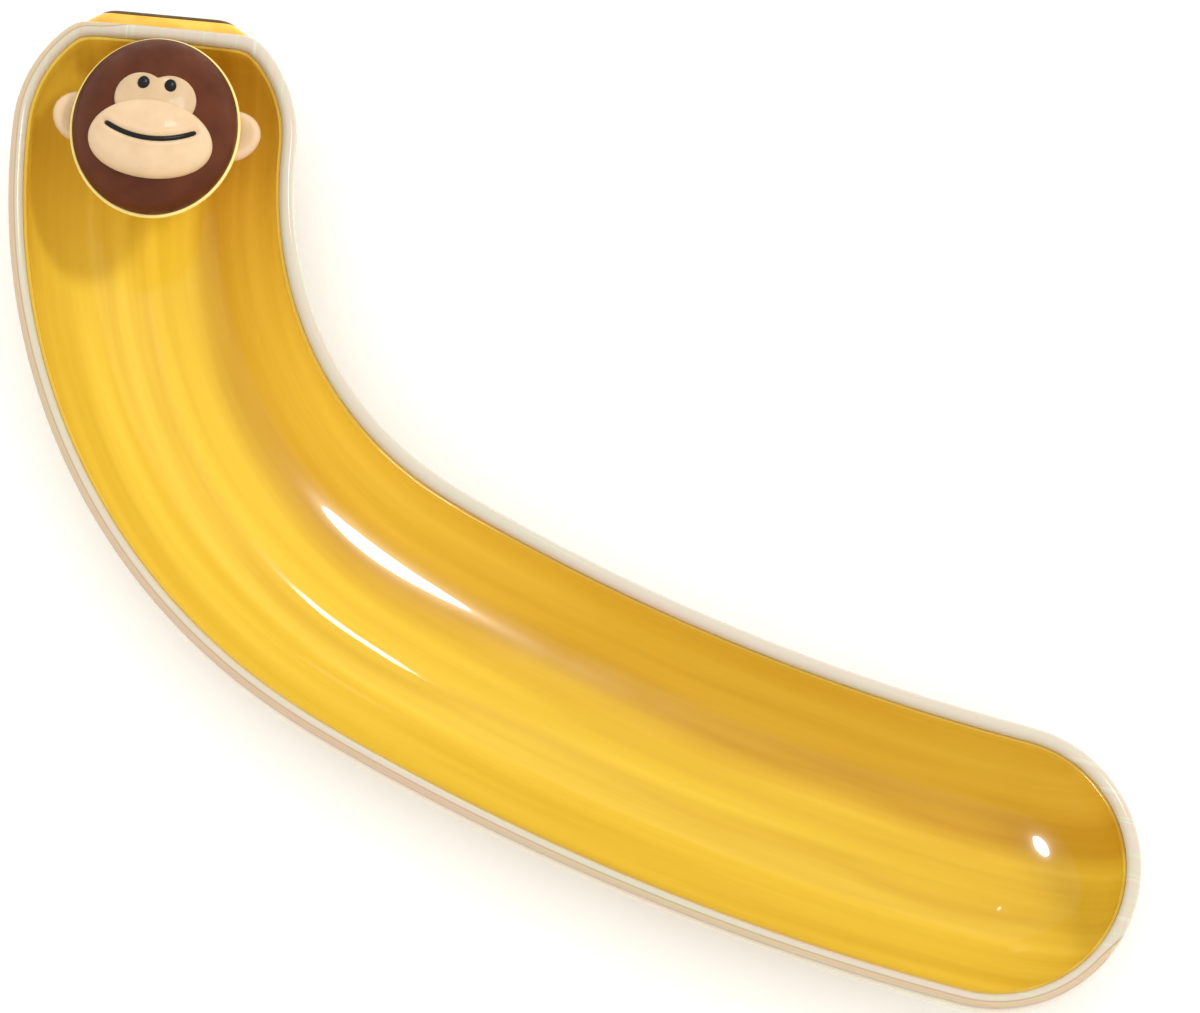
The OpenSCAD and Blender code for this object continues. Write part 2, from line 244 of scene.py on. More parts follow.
def trough(name, levels):
    """A closed trough through (half width, cut, z) levels, underside first, floor last.

    Its first and last loops are zipped across the centreline, with a flat face at each cap.
    """
    loops = [plan_loop(*level) for level in levels]
    count = len(loops[0])
    side = SIDE_STEPS + 1
    faces = skin_faces(len(loops), count)
    for first in (0, (len(loops) - 1) * count):
        last_left = first + 2 * side + FAR_STEPS - 1
        for i in range(SIDE_STEPS):
            faces.append((first + i, first + i + 1, last_left - i - 1, last_left - i))
        faces.append(tuple(first + side - 1 + j for j in range(FAR_STEPS + 2)))
        faces.append(tuple(last_left + j for j in range(HEAD_STEPS + 1)) + (first,))
    verts = np.concatenate(loops)
    obj = add_mesh(name, verts, faces)
    add_coordinates(obj, "trough", trough_coordinates(verts))
    add_coordinates(obj, "section", np.repeat([(w, z) for w, _, z in levels], count, axis=0))
    return obj


def section(half, base, heel, steps, crowned=False):
    """(half width, z) points from the middle of the floor out and up to the end of the heel.

    A crowned floor rises all the way across; any other is flat up to the heel.
    """
    flat = 0 if crowned else half - heel
    points = quarter((flat, base + heel), (half - flat, heel), -90, 0, steps)
    return [(max(w, CROWN_MIN), z) for w, z in points]


def section_levels(outside, rim, inside, half, cut, wall):
    """(half width, cut, z) levels of a trough: up the outside, over the rim, down the inside.

    cut is how far the flat end stands from the head cap's centre. Over the rim the flat end
    draws in exactly as the sides do.
    """
    levels = [(w, cut, z) for w, z in outside]
    levels += [(w, cut + w - half, z) for w, z in rim]
    return levels + [(w, cut - wall, z) for w, z in inside[::-1]]


def cut_hole(obj, radius, low, high):
    """Bores a plain vertical hole on the head's axis through a mesh."""
    work = bmesh.new()
    bmesh.ops.create_cone(work, cap_ends=True, segments=64, radius1=radius, radius2=radius,
                          depth=high - low)
    bmesh.ops.translate(work, verts=work.verts, vec=(*HEAD_AXIS, (low + high) / 2))
    mesh = bpy.data.meshes.new("bore")
    work.to_mesh(mesh)
    work.free()
    tool = bpy.data.objects.new("bore", mesh)
    bpy.context.scene.collection.objects.link(tool)
    boolean = obj.modifiers.new("bore", "BOOLEAN")
    boolean.operation = "DIFFERENCE"
    boolean.solver = "EXACT"
    boolean.object = tool
    graph = bpy.context.evaluated_depsgraph_get()
    result = bpy.data.meshes.new_from_object(obj.evaluated_get(graph))
    obj.modifiers.clear()
    obj.data = result
    bpy.data.objects.remove(tool)
    obj.data.set_sharp_from_angle(angle=math.radians(50))


# ---------------------------------------------------------------- materials

def srgb(r, g, b):
    """Linear colour for a colour given in the usual 0 to 255 steps."""
    def linear(c):
        c = c / 255
        return c / 12.92 if c <= 0.04045 else ((c + 0.055) / 1.055) ** 2.4
    return (linear(r), linear(g), linear(b), 1)


class Material:
    """A principled material and the few node chains that the pieces share."""

    def __init__(self, name):
        self.material = bpy.data.materials.new(name)
        self.material.use_nodes = True
        self.tree = self.material.node_tree
        self.shader = self.tree.nodes["Principled BSDF"]

    def node(self, kind, **values):
        made = self.tree.nodes.new(kind)
        for key, value in values.items():
            if key in made.inputs:
                made.inputs[key].default_value = value
            else:
                setattr(made, key, value)
        return made

    def link(self, source, target):
        self.tree.links.new(source, target)

    def place(self, stretch, uv=None):
        """Coordinates in metres, stretched, from the frame or from a named UV map."""
        if uv is None:
            source = self.node("ShaderNodeTexCoord").outputs["Object"]
        else:
            source = self.node("ShaderNodeUVMap", uv_map=uv).outputs["UV"]
        mapping = self.node("ShaderNodeMapping")
        mapping.inputs["Scale"].default_value = stretch
        self.link(source, mapping.inputs["Vector"])
        return mapping.outputs["Vector"]

    def noise(self, vector, scale, detail=3.0, roughness=0.5):
        made = self.node("ShaderNodeTexNoise", Scale=scale, Detail=detail, Roughness=roughness)
        self.link(vector, made.inputs["Vector"])
        return made.outputs["Fac"]

    def colours(self, factor, *stops):
        """A ramp of (place, colour) stops."""
        made = self.node("ShaderNodeValToRGB")
        elements = made.color_ramp.elements
        while len(elements) < len(stops):
            elements.new(1.0)
        for element, (place, colour) in zip(elements, stops):
            element.position = place
            element.color = colour
        self.link(factor, made.inputs["Fac"])
        return made.outputs["Color"]

    def remap(self, value, from_low, from_high, to_low, to_high):
        made = self.node("ShaderNodeMapRange")
        for key, limit in (("From Min", from_low), ("From Max", from_high),
                           ("To Min", to_low), ("To Max", to_high)):
            made.inputs[key].default_value = limit
        self.link(value, made.inputs["Value"])
        return made.outputs["Result"]

    def span(self, factor, low, high):
        """Maps a noise value, which runs from about 0.3 to 0.7, to low..high."""
        return self.remap(factor, 0.3, 0.7, low, high)

    def share(self, uv, axis, low, high):
        """0 to 1 between two values of one coordinate of a UV map."""
        split = self.node("ShaderNodeSeparateXYZ")
        self.link(self.place((1, 1, 1), uv=uv), split.inputs["Vector"])
        return self.remap(split.outputs[axis], low, high, 0, 1)

    def combine(self, operation, a, b):
        """Sum (ADD) or product (MULTIPLY) of two numbers."""
        made = self.node("ShaderNodeMath", operation=operation)
        self.link(a, made.inputs[0])
        self.link(b, made.inputs[1])
        return made.outputs["Value"]

    def times(self, a, b):
        """Product of two colours."""
        made = self.node("ShaderNodeVectorMath", operation="MULTIPLY")
        self.link(a, made.inputs[0])
        self.link(b, made.inputs[1])
        return made.outputs["Vector"]

    def bump(self, height, distance, strength=1.0):
        made = self.node("ShaderNodeBump", Strength=strength, Distance=distance)
        self.link(height, made.inputs["Height"])
        self.link(made.outputs["Normal"], self.shader.inputs["Normal"])

    def set(self, **values):
        for key, value in values.items():
            self.shader.inputs[key.replace("_", " ")].default_value = value


def gloss_paint(name, light, dark, scale, rough, coat=0.5, glow=0.0, shine=0.5, metal=0.0):
    """Painted or moulded plastic: mottled colour, smudged gloss, a slightly uneven skin.

    scale is the mottle's fineness, coat the clear coat's weight, glow the light that
    scatters under the skin, and shine the strength of the base's own reflection.
    """
    made = Material(name)
    place = made.place((1, 1, 1))
    mottle = made.noise(place, scale)
    made.link(made.colours(mottle, (0.3, dark), (0.7, light)), made.shader.inputs["Base Color"])
    smudge = made.noise(place, scale * 2.3, detail=5)
    made.link(made.span(smudge, rough * 0.75, rough * 1.3), made.shader.inputs["Roughness"])
    made.bump(made.noise(place, scale * 5, detail=2), 0.03 * MM, 0.5)
    made.set(Coat_Weight=coat, Coat_Roughness=0.08, Subsurface_Weight=glow,
             Specular_IOR_Level=shine, Metallic=metal, Subsurface_Radius=(2 * MM, MM, 0.5 * MM))
    return made.material


# Painted shade across the liner, from its convex side (0) to its concave side (1): the darker bands
# stand for the shade at the foot of the concave side's wall
LINER_SHADE_BANDS = ((0.0, (0.97, 0.95, 0.95, 1)), (0.36, (0.98, 0.98, 0.98, 1)),
               (0.41, (0.88, 0.83, 0.66, 1)), (0.47, (0.96, 0.95, 0.72, 1)),
               (0.62, (0.97, 0.94, 0.72, 1)), (0.72, (0.82, 0.68, 0.45, 1)),
               (0.83, (0.97, 0.87, 0.84, 1)), (1.0, (1, 0.95, 1, 1)))

# Painted shade along the liner: it gets a little darker between these distances from the head
LENGTH_SHADE_BANDS = ((0.0, (1, 1, 1, 1)), (1.0, (0.92, 0.9, 0.86, 1)))
LENGTH_SHADE_SPAN = (70 * MM, 150 * MM)

# Tone up the last stretch of the liner: its lip passes softly into the clear rim
LIP_BANDS = ((0.0, (1, 1, 1, 1)), (0.5, (1, 1, 1, 1)), (1.0, (0.8, 0.76, 0.95, 1)))
LIP_BAND_DEPTH = 1.2 * MM

# Tone up the shell: the yellow liner shows through the wall, and a line under the rim
SHELL_BANDS = ((0.0, (0.97, 0.87, 0.6, 1)), (0.72, (1, 0.87, 0.6, 1)),
               (0.81, (0.64, 0.48, 0.33, 1)), (0.9, (1, 1, 1, 1)), (1.0, (1, 1, 1, 1)))
SHELL_BAND_DEPTH = 14 * MM

# Tone outwards over the rim on the convex side: a brown line, a tan band, a darker edge
EDGE_BANDS = ((0.0, (1, 1, 1, 1)), (0.5, (1, 1, 0.98, 1)), (0.58, (0.72, 0.58, 0.42, 1)),
              (0.66, (1, 0.88, 0.72, 1)), (0.9, (1, 0.84, 0.66, 1)), (1.0, (0.6, 0.5, 0.42, 1)))


def liner_material():
    """High-gloss yellow with soft streaks, and broad bands of painted shade that run along the
    trough.
    """
    made = Material("yellow_gloss")
    stretched = made.place((9, 260, 1), uv="trough")
    streak = made.noise(stretched, 1.0, detail=4)
    colour = made.colours(streak, (0.3, srgb(219, 182, 57)), (0.5, srgb(228, 194, 66)),
                          (0.72, srgb(237, 205, 76)))
    wander = made.noise(made.place((16, 0, 1), uv="trough"), 1.0, detail=1)
    across = made.combine("ADD", made.share("trough", "Y", -LINER_HALF, LINER_HALF),
                       made.span(wander, -0.05, 0.05))
    lip = made.colours(made.share("section", "Y", LINER_TOP - LIP_BAND_DEPTH, LINER_TOP), *LIP_BANDS)
    length = made.colours(made.share("trough", "X", *LENGTH_SHADE_SPAN), *LENGTH_SHADE_BANDS)
    # The tones across and along the liner are painted shade; the lip's tone fades it into the rim
    for tone in (made.colours(across, *LINER_SHADE_BANDS), lip, length):
        colour = made.times(colour, tone)
    made.link(colour, made.shader.inputs["Base Color"])
    smudge = made.noise(made.place((1, 1, 1)), 90, detail=5)
    made.link(made.span(smudge, 0.16, 0.26), made.shader.inputs["Roughness"])
    wave = made.noise(made.place((14, 120, 1), uv="trough"), 1.0, detail=2)
    made.bump(wave, 0.12 * MM, 0.35)
    made.set(Coat_Weight=0.35, Coat_Roughness=0.03, Specular_IOR_Level=0.08)
    return made.material


def shell_material():
    """Milky clear acrylic, with pale tints in streaks that follow the rim."""
    made = Material("milky_clear")
    streak = made.noise(made.place((14, 900, 1), uv="trough"), 1.0, detail=3)
    colour = made.colours(streak, (0.3, srgb(238, 224, 196)), (0.45, srgb(244, 226, 210)),
                          (0.58, srgb(234, 232, 204)), (0.7, srgb(252, 244, 226)))
    tint = made.colours(made.share("section", "Y", RIM_Z - SHELL_BAND_DEPTH, RIM_Z), *SHELL_BANDS)
    outer_side = made.share("trough", "Y", 0, -LINER_HALF / 2)
    outwards = made.share("section", "X", SHELL_HALF - SHELL_WALL, SHELL_HALF)
    on_rim = made.share("section", "Y", RIM_Z - SHELL_WALL, RIM_Z - 0.7 * SHELL_WALL)
    over_rim = made.combine("MULTIPLY", made.combine("MULTIPLY", outwards, outer_side), on_rim)
    edge = made.colours(over_rim, *EDGE_BANDS)
    made.link(made.times(made.times(colour, tint), edge), made.shader.inputs["Base Color"])
    smudge = made.noise(made.place((1, 1, 1)), 120, detail=4)
    made.link(made.span(smudge, 0.05, 0.16), made.shader.inputs["Roughness"])
    made.bump(made.noise(made.place((20, 300, 1), uv="trough"), 1.0), 0.1 * MM, 0.3)
    made.set(Transmission_Weight=0.35, IOR=1.46, Coat_Weight=0.4, Coat_Roughness=0.04)
    return made.material


YELLOW = liner_material()
MILKY = shell_material()
STUB_YELLOW = gloss_paint("stub_yellow", srgb(250, 205, 80), srgb(236, 176, 44), 160, 0.2)
PALE_YELLOW = gloss_paint("pale_yellow", srgb(255, 236, 150), srgb(250, 220, 120), 180, 0.22)
BROWN = gloss_paint("brown_paint", srgb(96, 50, 29), srgb(80, 39, 22), 150, 0.5, coat=0.04,
                    shine=0.12)
CREAM = gloss_paint("cream_paint", srgb(226, 196, 158), srgb(216, 184, 146), 190, 0.4, coat=0.2,
                    glow=0.15, shine=0.3)
# A darker copy of the cream paint for the brow: painted shade
PAINTED_SHADE_CREAM = gloss_paint("cream_with_painted_shade", srgb(208, 178, 140), srgb(198, 168, 130), 190,
                           0.4, coat=0.2, glow=0.15, shine=0.3)
BLACK = gloss_paint("black_gloss", srgb(14, 10, 9), srgb(7, 5, 4), 400, 0.3, coat=0.15, shine=0.2)
OLIVE = gloss_paint("olive_tip", srgb(98, 72, 27), srgb(82, 58, 21), 300, 0.25)
ZINC = gloss_paint("zinc_plate", srgb(196, 198, 200), srgb(168, 170, 174), 500, 0.32, coat=0.0,
                   metal=1.0)
PAD = gloss_paint("soft_pad", srgb(226, 225, 218), srgb(206, 204, 196), 260, 0.5, coat=0.1)
NECK_YELLOW = gloss_paint("neck_yellow", srgb(246, 192, 52), srgb(236, 176, 44), 160, 0.2)

# ---------------------------------------------------------------- shell and liner

def shell_levels():
    lip = SHELL_WALL / 2
    half = SHELL_HALF
    outside = section(half, SHELL_BASE, HEEL_R, 26)
    rim = quarter((half - lip, RIM_Z - lip), (lip, lip), 0, 180, 15)
    inside = section(half - SHELL_WALL, LINER_BASE, HEEL_R - SHELL_WALL, 22)
    return section_levels(outside, rim, inside, half, END_CUT, SHELL_WALL)


def liner_levels():
    lip = LINER_WALL / 2
    half = LINER_HALF
    inner_half = half - LINER_WALL
    cut = END_CUT - SHELL_WALL - BOND_GAP
    heel = HEEL_R - SHELL_WALL - BOND_GAP
    outside = section(half, LINER_BASE, heel, 14)
    # The lip is sharp against the shell and rounded on its open side
    rim = [(half, LINER_TOP)] + quarter((half - lip, LINER_TOP - lip), (lip, lip), 90, 180, 7)
    # The floor is crowned all the way across, so that its reflections stay narrow
    inside = section(inner_half, LINER_BASE + LINER_WALL, heel - LINER_WALL, 34, crowned=True)
    return section_levels(outside, rim, inside, half, cut, LINER_WALL)


# Holes for the screw and its washer, and for the neck's spigot with its shallow seat
SCREW_HOLE_R = 1.7 * MM
COUNTERBORE_R = 3.7 * MM
SPIGOT_HOLE_R = 4.05 * MM
SPIGOT_SEAT = 0.3 * MM

shell = trough("clear_shell", shell_levels())
cut_hole(shell, COUNTERBORE_R, SHELL_BASE - MM, washer_high.z)
cut_hole(shell, SCREW_HOLE_R, SHELL_BASE - MM, LINER_BASE + MM)
cut_hole(shell, SPIGOT_HOLE_R, LINER_BASE - SPIGOT_SEAT, LINER_BASE + MM)
declare(shell, "outer_shell", "clear_shell", MILKY)

liner = trough("yellow_liner", liner_levels())
cut_hole(liner, SPIGOT_HOLE_R, LINER_BASE - MM, LINER_BASE + 3 * MM)
declare(liner, "liner", "yellow_liner", YELLOW)

# ---------------------------------------------------------------- head

# Frame of the face: x to the viewer's right, y to the crown, z over the dome's flat back.
# A patch of the face starts at its BASE height, inside the dome.
FACE_TILT = math.radians(-1.9)
FACE_TURN = HEADING[0] + math.pi / 2 + FACE_TILT
HEAD_W = 31.6 * MM
HEAD_L = 34.4 * MM
HEAD_RISE = 9.5 * MM
DOME_WALL = 0.4 * MM
PLATE_T = 1.2 * MM
PLATE_MARGIN = 0.5 * MM
PLATE_EDGE = 0.45 * MM
COLLAR_R = 8 * MM
SOCKET_R = 5 * MM
EAR_AT = np.array([14.8, 0.9]) * MM
EAR_R = 4.95 * MM
EAR_T = 2.8 * MM
EAR_DISH = 0.9 * MM
EAR_EDGE = 0.72


def on_head(points, z0):
    """Face-frame points placed in the model's frame; z is measured from z0."""
    c, s = math.cos(FACE_TURN), math.sin(FACE_TURN)
    x, y, z = points[:, 0], points[:, 1], points[:, 2]
    return np.column_stack([HEAD_AXIS[0] + c * x - s * y, HEAD_AXIS[1] + s * x + c * y, z0 + z])


def oval(half_w, half_l, count=96, centre=(0, 0)):
    """Points of an ellipse."""
    turn = np.linspace(0, 2 * math.pi, count, endpoint=False)
    return np.column_stack([centre[0] + half_w * np.cos(turn), centre[1] + half_l * np.sin(turn)])


def dome_z(x, y, grow=0.0):
    """Height of the dome over its flat back."""
    inside = 1 - (x / (HEAD_W / 2 + grow)) ** 2 - (y / (HEAD_L / 2 + grow)) ** 2
    return DOME_WALL + (HEAD_RISE + grow - DOME_WALL) * np.sqrt(np.maximum(inside, 0))


def flat_loop(outline, z):
    """An outline laid flat at one height."""
    return np.column_stack([outline, np.full(len(outline), z)])


def patch_loops(outline, centre, fractions, height):
    """Loops shrunk from an outline towards a centre, at the height that a function gives."""
    loops = []
    for f in fractions:
        plan = centre + (outline - centre) * f
        loops.append(np.column_stack([plan, height(plan[:, 0], plan[:, 1], f)]))
    return loops


def rounding(f, start):
    """1 in the middle of a patch, falling to 0 at its edge in a quarter ellipse."""
    past = max(0.0, (f - start) / (1 - start))
    return math.sqrt(max(0.0, 1 - past * past))


def edge_fractions(start, middle_steps, edge_steps):
    """Shrink factors from the edge inwards, close together where the edge is rounded."""
    turn = np.linspace(0, math.pi / 2, edge_steps)
    edge = [start + (1 - start) * math.cos(t) for t in turn]
    return edge + list(np.linspace(start, 0.02, middle_steps + 1)[1:])


def head_dome():
    """The domed head, flat underneath."""
    outline = oval(HEAD_W / 2, HEAD_L / 2, 128)
    bottom = [flat_loop(outline * f, 0) for f in (0.05, 0.5, 1)]
    turn = np.linspace(0, math.pi / 2, 30)[:-1]
    top = patch_loops(outline, np.zeros(2), np.cos(turn), lambda x, y, f: dome_z(x, y))
    loops = [on_head(loop, PLATE_TOP) for loop in bottom + top]
    return declare(loft("brown_dome", loops), "head_dome", "brown_fur", BROWN)


def head_plate():
    """Oval back plate with a rounded edge, and the collar under it that takes the neck."""
    half_w, half_l = HEAD_W / 2 + PLATE_MARGIN, HEAD_L / 2 + PLATE_MARGIN
    loops = [flat_loop(oval(half_w * f, half_l * f), 0) for f in (0.05, 0.6, 0.9)]
    for t in np.radians(np.linspace(90, -90, 13)):
        inset = PLATE_EDGE * (1 - math.cos(t))
        centre = -PLATE_EDGE if t > 0 else PLATE_EDGE - PLATE_T
        z = centre + PLATE_EDGE * math.sin(t)
        loops.append(flat_loop(oval(half_w - inset, half_l - inset), z))
    drop = PLATE_TOP - PLATE_T - PLATE_LOW
    collar = ((COLLAR_R + 0.4 * MM, 0), (COLLAR_R, 0.4 * MM), (COLLAR_R, drop - 0.3 * MM),
              (COLLAR_R - 0.3 * MM, drop), (SOCKET_R, drop), (SOCKET_R, 0.1 * MM),
              (0.5 * MM, 0.1 * MM))
    loops += [flat_loop(oval(r, r), -PLATE_T - depth) for r, depth in collar]
    loops = [on_head(loop, PLATE_TOP) for loop in loops]
    plate = loft("head_back_plate", loops)
    plate.data.set_sharp_from_angle(angle=math.radians(50))
    return declare(plate, "head_back", "pale_yellow", PALE_YELLOW)


# Places and sizes of the muzzle, the mouth, the eyes and the brow's two lobes
MUZZLE_AT = np.array([0, -4.4]) * MM
MUZZLE_W = 23.8 * MM
MUZZLE_L = 14.8 * MM
MUZZLE_RISE = 11.8 * MM
MUZZLE_BASE = 4 * MM
MOUTH_CENTRE = np.array([0, 10.65]) * MM
MOUTH_R = 15.7 * MM
MOUTH_HALF_ANGLE = math.radians(34)
MOUTH_W = 1.0 * MM
GROOVE_DEPTH = 0.5 * MM
GROOVE_HALF = 0.55 * MM
GROOVE_LIP = 0.16 * MM
EYE_AT = np.array([2.55, 6.1]) * MM
EYE_W = 2.3 * MM
EYE_L = 2.7 * MM
EYE_BASE = 7 * MM
BROW_AT = np.array([2.9, 3.45]) * MM
BROW_R = 4.9 * MM
BROW_NOTCH = 0.35 * MM
BROW_PROUD = 0.7 * MM
BROW_EDGE = 0.86
EYE_HOLLOW_DEPTH = 0.35 * MM
EYE_HOLLOW_R = 1.5 * MM
EYE_RISE = 0.45 * MM
BROW_BASE = 5.6 * MM


def mouth_distance(x, y):
    """Distance in plan from the line of the mouth."""
    dx, dy = x - MOUTH_CENTRE[0], y - MOUTH_CENTRE[1]
    turn = np.clip(np.arctan2(dx, -dy), -MOUTH_HALF_ANGLE, MOUTH_HALF_ANGLE)
    near_x = MOUTH_CENTRE[0] + MOUTH_R * np.sin(turn)
    near_y = MOUTH_CENTRE[1] - MOUTH_R * np.cos(turn)
    return np.hypot(x - near_x, y - near_y)


def muzzle_z(x, y, groove=True):
    """Height of the muzzle: it leaves the dome at its outline and swells from there."""
    ux, uy = 2 * (x - MUZZLE_AT[0]) / MUZZLE_W, 2 * (y - MUZZLE_AT[1]) / MUZZLE_L
    reach = np.maximum(np.hypot(ux, uy), 1e-3)
    edge_x = MUZZLE_AT[0] + (x - MUZZLE_AT[0]) / reach
    edge_y = MUZZLE_AT[1] + (y - MUZZLE_AT[1]) / reach
    edge = dome_z(edge_x, edge_y) + 0.2 * MM
    height = edge + (MUZZLE_RISE - edge) * np.sqrt(np.maximum(1 - reach ** 2, 0))
    if groove:
        off = mouth_distance(x, y)
        height = height - GROOVE_DEPTH * np.exp(-(off / GROOVE_HALF) ** 2)
        height = height + GROOVE_LIP * np.exp(-((off - 1.3 * MM) / (0.5 * MM)) ** 2)
    return height


def muzzle():
    """The bulging oval round the mouth, with a groove for the mouth's line."""
    outline = oval(MUZZLE_W / 2, MUZZLE_L / 2, 176, MUZZLE_AT)
    bottom = [flat_loop(MUZZLE_AT + (outline - MUZZLE_AT) * f, MUZZLE_BASE)
              for f in (0.05, 0.6, 1)]
    turn = np.linspace(0, math.pi / 2, 72)[:-1]
    top = patch_loops(outline, MUZZLE_AT, np.cos(turn), lambda x, y, f: muzzle_z(x, y))
    loops = [on_head(loop, PLATE_TOP) for loop in bottom + top]
    return declare(loft("cream_muzzle", loops), "muzzle", "cream_skin", CREAM)


def mouth():
    """A rounded black line lying in the muzzle's groove."""
    loops = []
    for t in np.linspace(-1, 1, 81):
        turn = t * MOUTH_HALF_ANGLE
        out = np.array([math.sin(turn), -math.cos(turn)])
        spot = MOUTH_CENTRE + MOUTH_R * out
        taper = lerp(0.03, 1, math.sqrt(max(0.0, 1 - abs(t) ** 24)))
        ring = np.linspace(0, 2 * math.pi, 16, endpoint=False)
        plan = spot + np.outer(np.cos(ring), out) * MOUTH_W / 2 * taper
        bed = muzzle_z(spot[:1], spot[1:], groove=False)[0] - 0.3 * MM
        loops.append(np.column_stack([plan, bed + 0.36 * MM * taper * np.sin(ring)]))
    loops = [on_head(loop, PLATE_TOP) for loop in loops]
    return declare(loft("mouth_line", loops), "mouth_inlay", "black_detail", BLACK)


def brow_outline(count=160):
    """Two round lobes side by side, met from one centre."""
    turn = np.linspace(0, 2 * math.pi, count, endpoint=False)
    points = []
    for t in turn:
        way = np.array([math.cos(t), math.sin(t)])
        reach = []
        for side in (-1, 1):
            along = way[0] * side * BROW_AT[0]
            reach.append(along + math.sqrt(BROW_R ** 2 - BROW_AT[0] ** 2 + along ** 2))
        # A soft maximum rounds the notch between the lobes
        far = 0.5 * (sum(reach) + math.sqrt((reach[0] - reach[1]) ** 2 + BROW_NOTCH ** 2))
        points.append(way * far)
    return np.array([0, BROW_AT[1]]) + np.array(points)


def brow_z(x, y, f):
    """Height of the brow, with a shallow hollow round each eye."""
    height = dome_z(x, y, BROW_PROUD) - BROW_PROUD * (1 - rounding(f, BROW_EDGE))
    for side in (-1, 1):
        off = np.hypot(x - side * EYE_AT[0], y - EYE_AT[1])
        height = height - EYE_HOLLOW_DEPTH * np.exp(-(off / EYE_HOLLOW_R) ** 2)
    return height


def brow():
    """The two-lobed patch that the eyes sit in."""
    centre = np.array([0, BROW_AT[1]])
    outline = brow_outline()
    bottom = [flat_loop(centre + (outline - centre) * f, BROW_BASE) for f in (0.05, 0.5, 1)]
    top = patch_loops(outline, centre, edge_fractions(BROW_EDGE, 26, 9), brow_z)
    loops = [on_head(loop, PLATE_TOP) for loop in bottom + top]
    # The brow's darker cream is painted shade
    return declare(loft("cream_brow", loops), "brow_patch", "cream_skin", PAINTED_SHADE_CREAM)


def eye(side, name, node):
    """A slightly oval domed bead let into the brow."""
    centre = np.array([side * EYE_AT[0], EYE_AT[1]])
    outline = oval(EYE_W / 2, EYE_L / 2, 40, centre)
    level = dome_z(centre[0], centre[1], BROW_PROUD) - 0.2 * MM
    bottom = [flat_loop(centre + (outline - centre) * f, EYE_BASE) for f in (0.1, 1)]
    turn = np.linspace(0, math.pi / 2, 12)[:-1]
    top = patch_loops(outline, centre, np.cos(turn),
                      lambda x, y, f: np.full(len(x), level + EYE_RISE * math.sqrt(1 - f * f)))
    loops = [on_head(loop, PLATE_TOP) for loop in bottom + top]
    return declare(loft(name, loops), node, "black_detail", BLACK)


def ear(side, name, node):
    """A rounded ear with a rolled rim and a hollow facing up."""
    centre = EAR_AT * (side, 1)
    turn = np.linspace(0, 2 * math.pi, 72, endpoint=False)
    swell = 1 + 0.05 * np.cos(turn - math.radians(35)) + 0.03 * np.cos(3 * (turn - math.radians(20)))
    radius = EAR_R * swell
    outline = centre + np.column_stack([side * radius * np.cos(turn), radius * np.sin(turn)])

    def top(x, y, f):
        hollow = EAR_DISH * math.exp(-((f - 0.1) / 0.5) ** 2)
        return np.full(len(x), EAR_T / 2 * (1 + rounding(f, EAR_EDGE)) - hollow)

    def under(x, y, f):
        return np.full(len(x), EAR_T / 2 * (1 - rounding(f, EAR_EDGE)))

    fractions = edge_fractions(EAR_EDGE, 12, 10)
    below = patch_loops(outline, centre, fractions[1:][::-1], under)
    above = patch_loops(outline, centre, fractions, top)
    loops = [on_head(loop, PLATE_TOP - PLATE_T - EAR_T) for loop in below + above]
    return declare(loft(name, loops), node, "cream_skin", CREAM)


head_plate()
head_dome()
face = [muzzle(), mouth(), brow(), eye(-1, "left_eye_bead", "eye_left"),
        eye(1, "right_eye_bead", "eye_right")]
ear(-1, "left_ear_shell", "ear_left")
ear(1, "right_ear_shell", "ear_right")

# ---------------------------------------------------------------- stem

# Stub and its dark tip: STEM_FLARE sets the width against the shell's round, and STEM_FOOT
# is the width at the bottom as a share of the width at the top
STEM_FLARE = -0.2 * MM
STEM_FOOT = 0.62
STEM_LEN = 2.2 * MM
TIP_T = 0.6 * MM
STEM_CORNER = 3 * MM


def stem_outline(half, inset, count=20):
    """Outline of the stem seen along the tray, as (across, z) points, drawn in by inset."""
    top, low = stub_high.z, stub_low.z
    low_half = half * STEM_FOOT
    r = STEM_CORNER
    turn = np.linspace(0, math.pi / 2, count)
    right = [(half - r + (r - inset) * math.cos(t), top - r + (r - inset) * math.sin(t))
             for t in turn]
    left = [(-x, z) for x, z in right[::-1]]
    foot = [(inset - low_half, low + inset), (low_half - inset, low + inset)]
    return np.array(right + left + foot)


def stem_piece(name, node, slot, material, start, length, edge):
    """A plate of the stem's outline with rounded edges, out from the flat end."""
    out = -np.array([math.cos(HEADING[0]), math.sin(HEADING[0])])
    across = np.array([-out[1], out[0]])
    loops = []
    for inset, reach in ((edge, 0), (edge * 0.3, edge * 0.3), (0, edge), (0, length - edge),
                         (edge * 0.3, length - edge * 0.3), (edge, length)):
        # The sides carry on the round of the shell, so the stem narrows outwards
        distance = END_CUT + start + reach
        half = math.sqrt(SHELL_HALF ** 2 - distance ** 2) + STEM_FLARE
        points = stem_outline(half, inset)
        plan = PATH[0] + out * distance + np.outer(points[:, 0], across)
        loops.append(np.column_stack([plan, points[:, 1]]))
    piece = loft(name, loops)
    piece.data.set_sharp_from_angle(angle=math.radians(60))
    return declare(piece, node, slot, material)


stem_piece("stem_block", "stem_stub", "yellow_liner", STUB_YELLOW, 0, STEM_LEN, 0.15 * MM)
stem_piece("stem_dark_tip", "stem_tip", "stem_tip", OLIVE, STEM_LEN, TIP_T, 0.2 * MM)

# ---------------------------------------------------------------- CAD pieces that stay

KEPT = {"neck": NECK_YELLOW, "head_screw": ZINC, "screw_washer": ZINC,
        "foot_1": PAD, "foot_2": PAD, "foot_3": PAD, "foot_4": PAD}
for node_name, material in KEPT.items():
    mesh = frame["nodes"][node_name].data
    mesh.materials.clear()
    mesh.materials.append(material)

# ---------------------------------------------------------------- floor, light, camera

